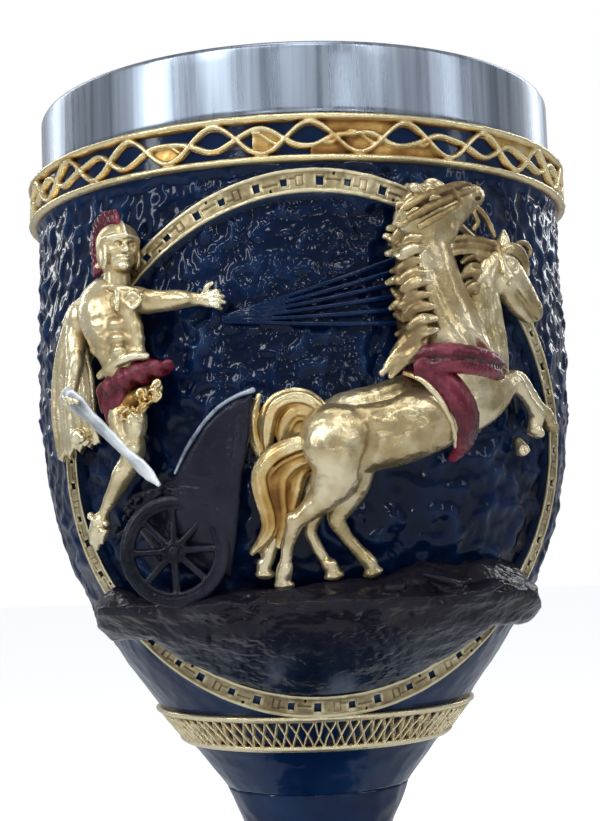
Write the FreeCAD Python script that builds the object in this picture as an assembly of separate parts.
import FreeCAD, Part
import math
import os

# Stemmed goblet with a loose steel liner and a raised chariot scene on its front.
# Millimetres, +Z up, origin at the centre of the base, the scene faces -Y.
cup_height = 178.0
liner_radius = 38.0
collar_height = 10.0
steel_thickness = 0.8
lip_bead_radius = 0.9
collar_step = 1.6
bowl_depth = 98.0
resin_step = 1.0
fit_gap = 0.3
stem_waist_radius = 8.8
stem_length = 53.0
foot_radius = 37.0
foot_edge = 6.6
pad_thickness = 2.0
pad_margin = 3.0
pad_proud = 0.5
rod_radius = 3.0
rod_inset = 12.0
trim_thickness = 1.0
rail_height = 0.9
band_height = 6.2
lower_band_height = 5.4
foot_band_height = 5.0
ledge_reach = 9.0
car_reach = 4.6
car_edge_proud = 0.7
cape_reach = 3.4
rein_reach = 0.6
wheel_thickness = 1.7

# Numbers of repeats round the bands, the ring and the wheel.
band_eyes = 48
lattice_eyes = 44
foot_eyes = 40
key_holes = 64
wheel_spokes = 8
limb_sides = 10
lip_sides = 12

# Levels and radii that follow from the sizes above.
resin_top = cup_height - collar_height
bowl_bottom = cup_height - bowl_depth
stem_bottom = bowl_bottom - stem_length
bowl_radius = liner_radius + resin_step
scene_radius = bowl_radius * 0.91
scene_level = cup_height - bowl_depth * 0.5286
stem_top_radius = bowl_radius * 0.346
stem_bottom_radius = stem_waist_radius * 1.45

# Outer curve of the bowl: drop below the rim over bowl_depth, radius over bowl_radius.
bowl_curve_shares = [(0.102, 1.000), (0.245, 1.000), (0.388, 1.009), (0.510, 0.995), (0.633, 0.936),
                     (0.714, 0.856), (0.796, 0.731), (0.878, 0.583), (0.939, 0.463), (1.000, 0.346)]

# Limbs are rows of across, up, height above the bowl and radius, over scene_radius.
near_barrel_shares = [(-0.03, 0.01, 0.03, 0.060), (0.03, 0.02, 0.06, 0.100), (0.10, 0.025, 0.06, 0.113),
                      (0.21, 0.035, 0.06, 0.122), (0.35, 0.09, 0.06, 0.130), (0.46, 0.13, 0.06, 0.122),
                      (0.56, 0.16, 0.06, 0.098), (0.64, 0.185, 0.05, 0.060)]
near_neck_shares = [(0.47, 0.17, 0.05, 0.125), (0.47, 0.28, 0.05, 0.150), (0.44, 0.42, 0.06, 0.120),
                    (0.405, 0.56, 0.09, 0.092), (0.385, 0.67, 0.12, 0.080), (0.38, 0.75, 0.13, 0.062)]
near_head_shares = [(0.36, 0.70, 0.13, 0.050), (0.42, 0.745, 0.14, 0.072), (0.48, 0.805, 0.14, 0.056),
                    (0.53, 0.850, 0.14, 0.042), (0.58, 0.885, 0.13, 0.038)]
near_fore_shares = [(0.58, 0.15, 0.06, 0.070), (0.65, 0.18, 0.08, 0.050), (0.715, 0.210, 0.10, 0.034),
                    (0.755, 0.165, 0.10, 0.024), (0.80, 0.105, 0.09, 0.024), (0.79, 0.045, 0.08, 0.038)]
near_fore_two_shares = [(0.66, 0.20, 0.06, 0.035), (0.73, 0.225, 0.07, 0.028), (0.79, 0.165, 0.07, 0.020),
                        (0.84, 0.12, 0.07, 0.020), (0.875, 0.075, 0.06, 0.034)]
near_hind_shares = [(0.03, -0.02, 0.07, 0.085), (0.03, -0.11, 0.08, 0.072), (-0.02, -0.185, 0.09, 0.047),
                    (-0.095, -0.25, 0.09, 0.032), (-0.135, -0.32, 0.09, 0.025), (-0.145, -0.40, 0.09, 0.026),
                    (-0.15, -0.46, 0.09, 0.036)]
near_hind_two_shares = [(0.07, -0.06, 0.03, 0.080), (0.07, -0.15, 0.03, 0.062), (0.045, -0.23, 0.04, 0.036),
                        (0.075, -0.31, 0.05, 0.022), (0.13, -0.375, 0.06, 0.022),
                        (0.155, -0.435, 0.06, 0.032)]
far_barrel_shares = [(0.00, 0.07, 0.00, 0.060), (0.08, 0.09, 0.01, 0.092), (0.20, 0.105, 0.01, 0.105),
                     (0.36, 0.15, 0.01, 0.110), (0.52, 0.20, 0.01, 0.100), (0.63, 0.23, 0.00, 0.065)]
far_neck_shares = [(0.58, 0.20, 0.01, 0.090), (0.60, 0.32, 0.02, 0.075), (0.58, 0.45, 0.03, 0.068),
                   (0.60, 0.56, 0.05, 0.070), (0.65, 0.62, 0.06, 0.060)]
far_head_shares = [(0.62, 0.615, 0.06, 0.060), (0.68, 0.600, 0.08, 0.076), (0.74, 0.560, 0.08, 0.058),
                   (0.80, 0.510, 0.07, 0.044), (0.85, 0.480, 0.06, 0.036)]
far_hind_shares = [(0.02, 0.00, 0.00, 0.070), (0.00, -0.15, 0.01, 0.048), (-0.05, -0.28, 0.02, 0.026),
                   (-0.01, -0.37, 0.04, 0.020), (0.02, -0.445, 0.05, 0.034)]
far_hind_two_shares = [(-0.02, -0.10, 0.00, 0.050), (-0.08, -0.22, 0.01, 0.032), (-0.19, -0.33, 0.02, 0.022),
                       (-0.215, -0.44, 0.04, 0.034)]
far_fore_shares = [(0.62, 0.17, 0.00, 0.055), (0.68, 0.12, 0.00, 0.036), (0.70, 0.04, 0.01, 0.022),
                   (0.71, -0.04, 0.02, 0.034)]
near_tail_shares = [
    [(-0.02, 0.00, 0.07, 0.034), (-0.10, -0.01, 0.08, 0.034), (-0.18, -0.045, 0.08, 0.033),
     (-0.215, -0.10, 0.07, 0.030), (-0.20, -0.17, 0.07, 0.030), (-0.18, -0.25, 0.07, 0.028),
     (-0.20, -0.32, 0.06, 0.018), (-0.25, -0.36, 0.05, 0.010)],
    [(-0.03, -0.04, 0.05, 0.040), (-0.11, -0.06, 0.06, 0.042), (-0.145, -0.12, 0.05, 0.040),
     (-0.14, -0.20, 0.05, 0.040), (-0.15, -0.29, 0.04, 0.030), (-0.15, -0.36, 0.03, 0.014)]]
far_tail_shares = [
    [(0.02, 0.11, 0.03, 0.034), (-0.04, 0.15, 0.04, 0.034), (-0.11, 0.155, 0.04, 0.034),
     (-0.17, 0.115, 0.04, 0.032), (-0.185, 0.04, 0.03, 0.030), (-0.18, -0.02, 0.02, 0.024)],
    [(0.00, 0.07, 0.02, 0.040), (-0.06, 0.095, 0.03, 0.040), (-0.115, 0.07, 0.03, 0.036),
     (-0.125, 0.00, 0.02, 0.030)],
    [(-0.185, -0.03, 0.01, 0.022), (-0.215, 0.03, 0.02, 0.022), (-0.235, 0.10, 0.03, 0.018),
     (-0.220, 0.17, 0.02, 0.010)]]
near_mane_shares = [
    [(0.40, 0.80, 0.13, 0.030), (0.345, 0.76, 0.14, 0.050), (0.31, 0.66, 0.13, 0.055),
     (0.31, 0.53, 0.11, 0.052), (0.305, 0.42, 0.09, 0.048), (0.275, 0.32, 0.08, 0.040),
     (0.225, 0.245, 0.09, 0.026)],
    [(0.345, 0.77, 0.14, 0.034), (0.30, 0.765, 0.13, 0.026), (0.265, 0.735, 0.11, 0.008)],
    [(0.32, 0.69, 0.13, 0.034), (0.28, 0.67, 0.12, 0.026), (0.245, 0.680, 0.10, 0.008)],
    [(0.32, 0.61, 0.12, 0.034), (0.275, 0.585, 0.11, 0.026), (0.245, 0.545, 0.09, 0.008)],
    [(0.32, 0.53, 0.11, 0.034), (0.28, 0.505, 0.10, 0.024), (0.255, 0.500, 0.08, 0.008)],
    [(0.32, 0.45, 0.10, 0.032), (0.285, 0.425, 0.09, 0.024), (0.265, 0.400, 0.07, 0.008)]]
far_mane_shares = [
    [(0.62, 0.67, 0.09, 0.030), (0.68, 0.685, 0.11, 0.034), (0.735, 0.665, 0.11, 0.032),
     (0.785, 0.620, 0.10, 0.022)],
    [(0.68, 0.67, 0.11, 0.030), (0.695, 0.72, 0.11, 0.022), (0.70, 0.765, 0.10, 0.007)],
    [(0.72, 0.66, 0.11, 0.030), (0.76, 0.705, 0.11, 0.026), (0.79, 0.690, 0.10, 0.018)]]
torso_shares = [(-0.695, 0.27, 0.06, 0.070), (-0.70, 0.35, 0.07, 0.088), (-0.72, 0.43, 0.07, 0.105),
                (-0.735, 0.52, 0.06, 0.122), (-0.73, 0.585, 0.05, 0.075), (-0.70, 0.63, 0.06, 0.042),
                (-0.695, 0.67, 0.07, 0.040)]
reaching_arm_shares = [(-0.67, 0.54, 0.08, 0.060), (-0.59, 0.535, 0.08, 0.044), (-0.50, 0.53, 0.06, 0.036),
                       (-0.42, 0.53, 0.05, 0.024), (-0.37, 0.525, 0.04, 0.034), (-0.335, 0.515, 0.03, 0.020)]
sword_arm_shares = [(-0.80, 0.53, 0.07, 0.068), (-0.86, 0.47, 0.08, 0.052), (-0.875, 0.38, 0.10, 0.042),
                    (-0.88, 0.30, 0.12, 0.034), (-0.885, 0.24, 0.13, 0.032)]
leg_shares = [(-0.70, 0.20, 0.05, 0.060), (-0.70, 0.12, 0.06, 0.058), (-0.665, 0.03, 0.07, 0.046),
              (-0.69, -0.04, 0.07, 0.038), (-0.75, -0.12, 0.06, 0.030), (-0.79, -0.20, 0.06, 0.022),
              (-0.805, -0.25, 0.06, 0.038), (-0.82, -0.30, 0.06, 0.018)]
helmet_shares = [(-0.715, 0.655, 0.08, 0.038), (-0.705, 0.70, 0.09, 0.064), (-0.70, 0.75, 0.09, 0.080),
                 (-0.70, 0.80, 0.08, 0.064), (-0.70, 0.84, 0.07, 0.024)]
kilt_puff_shares = [(-0.755, 0.235, 0.13, 0.034), (-0.715, 0.265, 0.145, 0.040),
                    (-0.665, 0.285, 0.145, 0.042), (-0.61, 0.29, 0.13, 0.040), (-0.56, 0.295, 0.11, 0.030)]
kilt_roll_shares = [(-0.76, 0.21, 0.10, 0.030), (-0.70, 0.265, 0.11, 0.045), (-0.62, 0.285, 0.10, 0.042),
                    (-0.53, 0.29, 0.07, 0.020)]
fringe_shares = [(-0.74, 0.13, 0.10, 0.030), (-0.70, 0.18, 0.115, 0.046), (-0.65, 0.20, 0.115, 0.044),
                 (-0.58, 0.215, 0.10, 0.032)]
chest_strap_shares = [(0.31, 0.275, 0.05, 0.034), (0.37, 0.290, 0.14, 0.040), (0.47, 0.295, 0.19, 0.043),
                      (0.57, 0.285, 0.14, 0.040), (0.645, 0.265, 0.05, 0.032)]
girth_shares = [(0.36, 0.245, 0.16, 0.030), (0.42, 0.19, 0.175, 0.036), (0.465, 0.12, 0.17, 0.036),
                (0.485, 0.05, 0.13, 0.032), (0.475, -0.01, 0.04, 0.028)]

# Swell of a knob along its height, both over its radius.
knob_swell_shares = [(-0.95, 0.30), (-0.62, 0.78), (0.0, 1.0), (0.62, 0.78), (0.95, 0.30)]

# Flat outlines seen from the front, across and up over scene_radius.
cape_outline_shares = [(-0.86, 0.55), (-0.915, 0.49), (-0.96, 0.39), (-0.98, 0.28), (-0.975, 0.16),
                       (-0.97, 0.04), (-0.92, 0.025), (-0.84, 0.045), (-0.80, 0.20), (-0.78, 0.42)]
car_outline_shares = [(-0.70, -0.14), (-0.50, -0.055), (-0.46, 0.017), (-0.40, 0.10), (-0.32, 0.166),
                      (-0.235, 0.197), (-0.25, 0.06), (-0.285, -0.10), (-0.31, -0.30), (-0.62, -0.36)]
car_edge_shares = [(-0.51, -0.060), (-0.470, 0.022), (-0.408, 0.107), (-0.324, 0.176), (-0.232, 0.207),
                   (-0.232, 0.180), (-0.316, 0.148), (-0.390, 0.083), (-0.448, 0.004), (-0.49, -0.075)]
sword_outline_shares = [(-0.945, 0.25), (-0.92, 0.275), (-0.885, 0.25), (-0.75, 0.10), (-0.64, -0.02),
                        (-0.555, -0.10), (-0.575, -0.125), (-0.67, -0.04), (-0.80, 0.10), (-0.92, 0.205)]
pommel_shares = (-0.915, 0.245, 0.15, 0.034)
crest_outer_shares = [(-0.70, 0.90), (-0.785, 0.85), (-0.795, 0.68)]
crest_inner_shares = [(-0.70, 0.83), (-0.752, 0.80), (-0.765, 0.68)]
rein_start_shares = (-0.335, 0.455)
rein_end_shares = [(0.27, 0.66), (0.27, 0.62), (0.27, 0.575), (0.27, 0.53), (0.28, 0.48), (0.28, 0.43)]
rein_width_share = 0.008
ledge_outline_shares = [(-0.845, -0.535), (0.80, -0.525), (0.865, -0.62), (0.77, -0.68), (0.60, -0.68),
                        (-0.60, -0.68), (-0.80, -0.66), (-0.85, -0.60)]
ring_inner_share = 0.893
ring_wide_share = 0.937
ring_high_share = 0.977
lower_band_top_share = -0.967
ledge_top_share = -0.53
ledge_back_share = -0.43
ledge_foot_share = -0.90
wheel_place_shares = (-0.552, -0.340)
wheel_height_share = 0.155
wheel_radius_share = 0.190
wheel_rim_share = 0.145
wheel_hub_share = 0.045
wheel_spoke_share = 0.020
wheel_turn = 12.0

up = FreeCAD.Vector(0, 0, 1)
origin = FreeCAD.Vector(0, 0, 0)


def level(height):
    """Point on the cup's own axis."""
    return FreeCAD.Vector(0, 0, height)


def revolve(points, smooth=False):
    """Solid of revolution about Z from an outline in the XZ plane."""
    spots = [FreeCAD.Vector(radius, 0, height) for radius, height in points]
    if smooth:
        curve = Part.BSplineCurve()
        curve.interpolate(spots)
        axis_top = level(points[0][1])
        axis_foot = level(points[-1][1])
        edges = [curve.toShape(), Part.makeLine(spots[-1], axis_foot),
                 Part.makeLine(axis_foot, axis_top), Part.makeLine(axis_top, spots[0])]
        face = Part.Face(Part.Wire(edges))
    else:
        face = Part.Face(Part.makePolygon(spots + spots[:1]))
    return face.revolve(origin, up, 360)


def bowl_points(extra):
    """Outer curve of the bowl, moved out by extra."""
    return [(bowl_radius * wide + extra, cup_height - bowl_depth * drop) for drop, wide in bowl_curve_shares]


def bowl_wall(height):
    """Outer radius of the bowl at a level, along straight runs between its shares."""
    rows = bowl_points(0)
    for (wide_a, high_a), (wide_b, high_b) in zip(rows, rows[1:]):
        if high_b <= height <= high_a:
            part = (high_a - height) / (high_a - high_b)
            return wide_a + part * (wide_b - wide_a)
    return rows[0][0] if height > rows[0][1] else rows[-1][0]


def spot(across, high, out):
    """Point on the scene: shares across and up as seen from the front, then out from the bowl."""
    x = across * scene_radius
    z = scene_level + high * scene_radius
    reach = bowl_wall(z) + out * scene_radius
    return FreeCAD.Vector(x, -math.sqrt(max(reach ** 2 - x ** 2, 0)), z)


def front(across, high):
    """Point of a flat outline, on the plane through the cup's axis."""
    return FreeCAD.Vector(across * scene_radius, 0, scene_level + high * scene_radius)


def limb(rows):
    """Rounded limb lofted through many-sided rings that stand square to its path."""
    spots = [spot(across, high, out) for across, high, out, wide in rows]
    rings = []
    for place, (here, row) in enumerate(zip(spots, rows)):
        before = spots[max(place - 1, 0)]
        after = spots[min(place + 1, len(spots) - 1)]
        outward = FreeCAD.Vector(here.x, here.y, 0)
        turn = FreeCAD.Rotation(outward, FreeCAD.Vector(), after - before, "ZXY")
        radius = FreeCAD.Vector(row[3] * scene_radius, 0, 0)
        corners = []
        for side in range(limb_sides):
            spin = FreeCAD.Rotation(up, 360.0 * side / limb_sides)
            corners.append(here + turn.multVec(spin.multVec(radius)))
        rings.append(Part.makePolygon(corners + corners[:1]))
    return Part.makeLoft(rings, True)


def knob(across, high, out, wide):
    """Rounded knob of the scene, widest at its middle."""
    rows = []
    for step, swell in knob_swell_shares:
        rows.append((across, high + step * wide, out, wide * swell))
    return limb(rows)


def slab(rows, reach, smooth=False):
    """Flat outline pushed out from the bowl as far as reach."""
    spots = [front(across, high) for across, high in rows]
    if smooth:
        curve = Part.BSplineCurve()
        curve.interpolate(spots, PeriodicFlag=True)
        wire = Part.Wire(curve.toShape())
    else:
        wire = Part.makePolygon(spots + spots[:1])
    block = Part.Face(wire).extrude(FreeCAD.Vector(0, -bowl_radius - ledge_reach, 0))
    return block.common(revolve(bowl_points(reach), True))


def whole(shape):
    """The one solid of a piece; smaller offcuts are dropped."""
    solids = sorted(shape.Solids, key=lambda solid: solid.Volume)
    return solids[-1]


def join(shapes):
    """Pieces cast as one."""
    return shapes[0].fuse(shapes[1:]) if len(shapes) > 1 else shapes[0]


def seat(shape, others):
    """A piece cut back so that it sits face to face on those under it."""
    for other in others:
        if shape.BoundBox.intersect(other.BoundBox):
            shape = shape.cut(other)
    return whole(shape)


def ring_of(tool, count):
    """Copies of a cutter, evenly round the cup."""
    copies = []
    for place in range(count):
        copy = tool.copy()
        copy.rotate(origin, up, 360.0 * place / count)
        copies.append(copy)
    return copies


def cutter(points, height, inner, outer):
    """Straight cutter that points along -Y, from an outline about the level."""
    spots = [FreeCAD.Vector(x, -inner, height + z) for x, z in points]
    face = Part.Face(Part.makePolygon(spots + spots[:1]))
    return face.extrude(FreeCAD.Vector(0, inner - outer, 0))


def make_liner():
    """Steel cup with a rolled lip, a straight collar and a tapered body below a step."""
    body_radius = liner_radius - collar_step
    foot_wide = body_radius * 0.83
    floor = cup_height - bowl_depth * 0.735
    corner = bowl_depth * 0.10
    step_level = resin_top + fit_gap
    rim = cup_height - lip_bead_radius
    outer = [(liner_radius, rim), (liner_radius, step_level), (body_radius, step_level),
             (foot_wide, floor + corner), (foot_wide - corner * 0.32, floor + corner * 0.32),
             (foot_wide - corner, floor), (0, floor)]
    lip = []
    for side in range(1 + lip_sides // 3, lip_sides):
        lean = -2 * math.pi * side / lip_sides
        inset = lip_bead_radius * (1 - math.cos(lean))
        lip.append((liner_radius - inset, rim + lip_bead_radius * math.sin(lean)))
    thick = steel_thickness
    inner = [(0, floor + thick), (foot_wide - corner, floor + thick),
             (foot_wide - corner * 0.32 - thick * 0.7, floor + corner * 0.32 + thick * 0.7),
             (foot_wide - thick, floor + corner), (body_radius - thick, step_level + thick),
             (liner_radius - thick, step_level + thick), (liner_radius - thick, rim - lip_bead_radius)]
    return whole(revolve(outer + inner + lip))


def make_bowl(envelope, rod):
    """Cast bowl with a socket that clears the liner all round."""
    body_radius = liner_radius - collar_step + fit_gap
    foot_wide = (liner_radius - collar_step) * 0.83 + fit_gap
    floor = cup_height - bowl_depth * 0.735 - fit_gap
    corner = bowl_depth * 0.10
    socket = revolve([(0, cup_height), (body_radius, cup_height), (body_radius, resin_top),
                      (foot_wide, floor + corner),
                      (foot_wide - corner * 0.32, floor + corner * 0.32), (foot_wide - corner, floor),
                      (0, floor)])
    return whole(envelope.cut([socket, rod]))


def make_stem(rod):
    """Turned stem that narrows below the bowl and spreads towards the foot."""
    rows = [(stem_top_radius, bowl_bottom), (stem_waist_radius * 1.12, bowl_bottom - stem_length * 0.18),
            (stem_waist_radius, bowl_bottom - stem_length * 0.42),
            (stem_waist_radius * 1.06, bowl_bottom - stem_length * 0.72), (stem_bottom_radius, stem_bottom)]
    return whole(revolve(rows, True).cut(rod))


def make_foot(rod):
    """Bell-shaped foot with a recess for the pad below."""
    spread = foot_radius - stem_bottom_radius
    rise = stem_bottom - foot_edge
    rows = [(stem_bottom_radius, stem_bottom), (stem_bottom_radius + spread * 0.16, foot_edge + rise * 0.72),
            (stem_bottom_radius + spread * 0.42, foot_edge + rise * 0.42),
            (stem_bottom_radius + spread * 0.75, foot_edge + rise * 0.17), (foot_radius, foot_edge)]
    bell = revolve(rows, True)
    plinth = Part.makeCylinder(foot_radius, foot_edge - pad_proud, level(pad_proud))
    recess = Part.makeCylinder(foot_radius - pad_margin, pad_thickness, origin)
    return whole(bell.fuse(plinth).cut([recess, rod]))


def make_band(top, height, eyes, wide, core):
    """Openwork band: two rails and a web pierced between two crossing waves."""
    proud = trim_thickness
    web = trim_thickness * 0.6
    inner = wide * 0.9
    rail = rail_height
    low = top - height
    blank = revolve([(inner, top), (wide + proud, top), (wide + proud, top - rail), (wide + web, top - rail),
                     (wide + web, low + rail * 1.2), (wide + proud, low + rail * 1.2), (wide + proud, low),
                     (inner, low)])
    half = math.pi * (wide + web) / eyes
    rise = (height - rail * 2.2) / 2
    middle = (top - rail + low + rail * 1.2) / 2
    eye = cutter([(-half * 0.76, 0), (-half * 0.34, rise * 0.56), (half * 0.34, rise * 0.56),
                  (half * 0.76, 0), (half * 0.34, -rise * 0.56), (-half * 0.34, -rise * 0.56)],
                 middle, inner, wide + proud * 2)
    gaps = []
    for side in (1, -1):
        corner = cutter([(-half * 0.56, side * rise * 0.96), (half * 0.56, side * rise * 0.96),
                         (0, side * rise * 0.42)], middle, inner, wide + proud * 2)
        corner.rotate(origin, up, 180.0 / eyes)
        gaps += ring_of(corner, eyes)
    return seat(blank, [core, Part.makeCompound(ring_of(eye, eyes) + gaps)])


def make_slanted_band(points_top, points_low, eyes, core):
    """Lattice band on a slanted wall, with a rail at each edge and leaning eyes between."""
    wide_top, top = points_top
    wide_low, low = points_low
    proud = trim_thickness
    sink = trim_thickness
    blank = revolve([(wide_top - sink, top), (wide_top + proud, top), (wide_low + proud, low),
                     (wide_low - sink, low)])
    half = math.pi * (wide_top + wide_low) / 2 / eyes
    rise = (top - low) / 2 * 0.6
    middle = (top + low) / 2
    near = min(wide_top, wide_low) - sink * 2
    far = max(wide_top, wide_low) + proud * 2
    eye = cutter([(-half * 0.62, 0), (0, rise), (half * 0.62, 0), (0, -rise)], middle, near, far)
    return seat(blank, [core, Part.makeCompound(ring_of(eye, eyes))])


def make_ring(envelope, below):
    """Round frame of the scene, plain and with the key pattern pierced between its edges."""
    inner = ring_inner_share * scene_radius
    half_wide = ring_wide_share * scene_radius
    half_high = ring_high_share * scene_radius
    depth = bowl_radius + ledge_reach
    centre = level(scene_level)
    away = FreeCAD.Vector(0, -1, 0)
    side = FreeCAD.Vector(half_wide, 0, 0)
    edge = Part.Ellipse(centre + up * half_high, centre + side, centre)
    plate = Part.Face(Part.Wire(edge.toShape())).extrude(away * depth)
    frame = plate.cut(Part.makeCylinder(inner, depth, centre, away))
    frame = frame.common(revolve(bowl_points(trim_thickness), True))
    holes = []
    for place in range(key_holes):
        lean = 360.0 * (place + 0.5) / key_holes
        slant = math.radians(lean)
        outer = 1 / math.hypot(math.cos(slant) / half_high, math.sin(slant) / half_wide)
        middle = (outer + inner) / 2
        high = (outer - inner) * 0.46
        size = math.pi * middle / key_holes * (0.42 if place % 2 else 0.62)
        hole = cutter([(-size, middle - high / 2), (size, middle - high / 2), (size, middle + high / 2),
                       (-size, middle + high / 2)], scene_level, 0, depth)
        hole.rotate(centre, away, lean)
        holes.append(hole)
    frame = seat(frame, [envelope, below])
    return frame, seat(frame, [Part.makeCompound(holes)])


def make_ledge(envelope, under):
    """Rock ledge: a sloping top, a front edge that stands out and a face that falls back to the bowl."""
    top = scene_level + ledge_top_share * scene_radius
    back = scene_level + ledge_back_share * scene_radius
    foot = scene_level + ledge_foot_share * scene_radius
    brow = top - ledge_reach * 0.35
    rock = revolve([(bowl_wall(back) * 0.8, back), (bowl_wall(back) + trim_thickness * 0.4, back),
                    (bowl_wall(top) + ledge_reach * 0.92, top), (bowl_wall(brow) + ledge_reach, brow),
                    (bowl_wall(foot) + trim_thickness, foot), (bowl_wall(foot) * 0.7, foot)])
    depth = bowl_radius + ledge_reach * 2
    away = FreeCAD.Vector(0, -1, 0)
    inside = Part.makeCylinder(ring_inner_share * scene_radius, depth, level(scene_level), away)
    wings = [front(across, high) for across, high in ledge_outline_shares]
    shoulder = Part.Face(Part.makePolygon(wings + wings[:1])).extrude(away * depth)
    return seat(rock.common(inside.fuse(shoulder)), [envelope] + under)


def make_wheel(under):
    """Spoked wheel that leans a little round the bowl."""
    place = spot(wheel_place_shares[0], wheel_place_shares[1], wheel_height_share)
    radius = wheel_radius_share * scene_radius
    rim = wheel_rim_share * scene_radius
    hub = wheel_hub_share * scene_radius
    spoke = wheel_spoke_share * scene_radius
    thick = wheel_thickness
    tyre = Part.makeCylinder(radius, thick)
    boss = Part.makeCylinder(hub, thick * 1.35)
    windows = []
    for turn in range(wheel_spokes):
        middle = math.pi / wheel_spokes
        near_half = middle - spoke / hub * 0.6
        far_half = middle - spoke / rim
        corners = []
        for reach, lean in ((hub, -near_half), (rim, -far_half), (rim, far_half), (hub, near_half)):
            corners.append(FreeCAD.Vector(reach * math.cos(lean), reach * math.sin(lean), 0))
        brow = Part.Arc(corners[1], FreeCAD.Vector(rim, 0, 0), corners[2]).toShape()
        sides = [Part.makeLine(corners[0], corners[1]), brow, Part.makeLine(corners[2], corners[3])]
        sides.append(Part.makeLine(corners[3], corners[0]))
        window = Part.Face(Part.Wire(sides)).extrude(level(thick))
        window.rotate(origin, up, 360.0 * (turn + 0.5) / wheel_spokes)
        windows.append(window)
    wheel = tyre.cut(windows).fuse(boss)
    wheel.rotate(origin, FreeCAD.Vector(1, 0, 0), 90)
    wheel.rotate(origin, up, -wheel_turn)
    wheel.translate(place)
    return seat(wheel, under)


def make_car(envelope, under):
    """Side of the chariot with its swept front edge, and the stub of the axle."""
    place = spot(wheel_place_shares[0], wheel_place_shares[1], wheel_height_share)
    side = slab(car_outline_shares, car_reach)
    edge = slab(car_edge_shares, car_reach + car_edge_proud)
    away = FreeCAD.Vector(0, 1, 0)
    axle = Part.makeCylinder(wheel_hub_share * scene_radius * 0.8, bowl_radius * 0.6, place, away)
    return seat(join([side, edge, axle]), [envelope] + under)


def make_sword(under):
    """Flat blade that crosses in front of the leg, with a round pommel."""
    blade = slab(sword_outline_shares, scene_radius * 0.17)
    behind = revolve(bowl_points(scene_radius * 0.11), True)
    pommel = knob(*pommel_shares)
    return seat(join([blade.cut(behind), pommel]), under)


def make_crest(under):
    """Brush of the helmet, a curved fin over the dome."""
    outer = [front(across, high) for across, high in crest_outer_shares]
    inner = [front(across, high) for across, high in crest_inner_shares]
    edges = [Part.Arc(*outer).toShape(), Part.makeLine(outer[-1], inner[-1]),
             Part.Arc(*reversed(inner)).toShape(), Part.makeLine(inner[0], outer[0])]
    fin = Part.Face(Part.Wire(edges)).extrude(FreeCAD.Vector(0, -bowl_radius - ledge_reach, 0))
    return seat(fin.common(revolve(bowl_points(scene_radius * 0.12), True)), under)


def make_reins(under):
    """Fan of thin reins on the wall, from the hand to the mane."""
    strips = []
    start = rein_start_shares
    for across, high in rein_end_shares:
        wide = rein_width_share
        rows = [(start[0], start[1] - wide), (across, high - wide), (across, high + wide),
                (start[0], start[1] + wide)]
        strips.append(slab(rows, rein_reach))
    return seat(join(strips), under)


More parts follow.
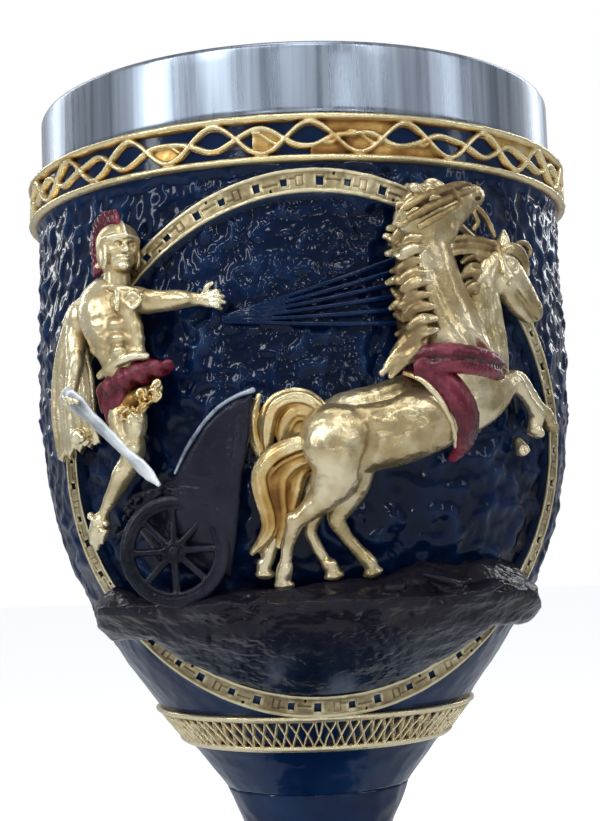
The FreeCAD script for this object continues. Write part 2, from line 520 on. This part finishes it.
def build():
    """All pieces by name, each cut back to what it sits on."""
    envelope = revolve(bowl_points(0), True)
    rod_top = bowl_bottom + rod_inset
    rod = Part.makeCylinder(rod_radius, rod_top - foot_edge, level(foot_edge))
    pieces = {"liner_cup": make_liner(), "bowl_casting": make_bowl(envelope, rod)}
    pieces["stem_casting"] = make_stem(rod)
    pieces["foot_casting"] = make_foot(rod)
    pieces["stem_rod"] = rod
    pieces["base_pad"] = Part.makeCylinder(foot_radius - pad_margin, pad_thickness, origin)
    pieces["upper_band"] = make_band(resin_top, band_height, band_eyes, bowl_radius, envelope)
    foot_core = Part.makeCylinder(foot_radius, foot_edge)
    foot_band_top = (foot_edge + pad_proud + foot_band_height) / 2
    pieces["foot_band"] = make_band(foot_band_top, foot_band_height, foot_eyes, foot_radius, foot_core)
    band_top = scene_level + lower_band_top_share * scene_radius
    band_low = band_top - lower_band_height
    lower = make_slanted_band((bowl_wall(band_top), band_top), (bowl_wall(band_low), band_low),
                              lattice_eyes, envelope)
    pieces["lower_band"] = lower
    below = Part.makeCylinder(bowl_radius, lower_band_height, level(band_low))
    ring, pieces["medallion_ring"] = make_ring(envelope, below)
    ledge = make_ledge(envelope, [ring])
    pieces["ground_ledge"] = ledge
    base = [envelope, ring, ledge]
    wheel = make_wheel(base)
    pieces["chariot_wheel"] = wheel
    near = seat(join([limb(near_barrel_shares), limb(near_neck_shares), limb(near_head_shares),
                      limb(near_fore_shares), limb(near_fore_two_shares), limb(near_hind_shares),
                      limb(near_hind_two_shares)]), base)
    pieces["near_horse"] = near
    far = seat(join([limb(far_barrel_shares), limb(far_neck_shares), limb(far_head_shares),
                     limb(far_hind_shares), limb(far_hind_two_shares), limb(far_fore_shares)]),
               base + [near])
    pieces["far_horse"] = far
    horses = base + [near, far]
    near_tail = seat(join([limb(rows) for rows in near_tail_shares]), horses)
    pieces["near_tail"] = near_tail
    car = make_car(envelope, [ring, ledge, wheel, near_tail, near, far])
    pieces["chariot_car"] = car
    pieces["far_tail"] = seat(join([limb(rows) for rows in far_tail_shares]), horses + [near_tail, car])
    mane = seat(join([limb(rows) for rows in near_mane_shares]), horses)
    pieces["near_mane"] = mane
    pieces["far_mane"] = seat(join([limb(rows) for rows in far_mane_shares]), horses + [mane])
    chest = seat(limb(chest_strap_shares), horses + [mane])
    pieces["chest_strap"] = chest
    pieces["girth_strap"] = seat(limb(girth_shares), horses + [mane, chest])
    body = seat(join([limb(torso_shares), limb(reaching_arm_shares), limb(sword_arm_shares),
                      limb(leg_shares)]), base + [car, wheel])
    pieces["charioteer_body"] = body
    head = seat(limb(helmet_shares), base + [body])
    pieces["charioteer_head"] = head
    crest = make_crest(base + [body, head])
    pieces["helmet_crest"] = crest
    puffs = [knob(*row) for row in kilt_puff_shares]
    kilt = seat(join([limb(kilt_roll_shares)] + puffs), base + [body, car])
    pieces["kilt"] = kilt
    fringe = seat(limb(fringe_shares), base + [body, car, kilt])
    pieces["kilt_fringe"] = fringe
    cape = seat(slab(cape_outline_shares, cape_reach, True), base + [body, car, kilt, fringe])
    pieces["cape"] = cape
    pieces["sword"] = make_sword(base + [body, car, wheel, kilt, fringe, cape])
    pieces["reins"] = make_reins(base + [body, near, far, mane])
    return pieces


os.makedirs("parts", exist_ok=True)
for name, shape in build().items():
    shape.exportStep("parts/" + name + ".step")
    print(name, len(shape.Solids), shape.isValid(), round(shape.Volume, 1))
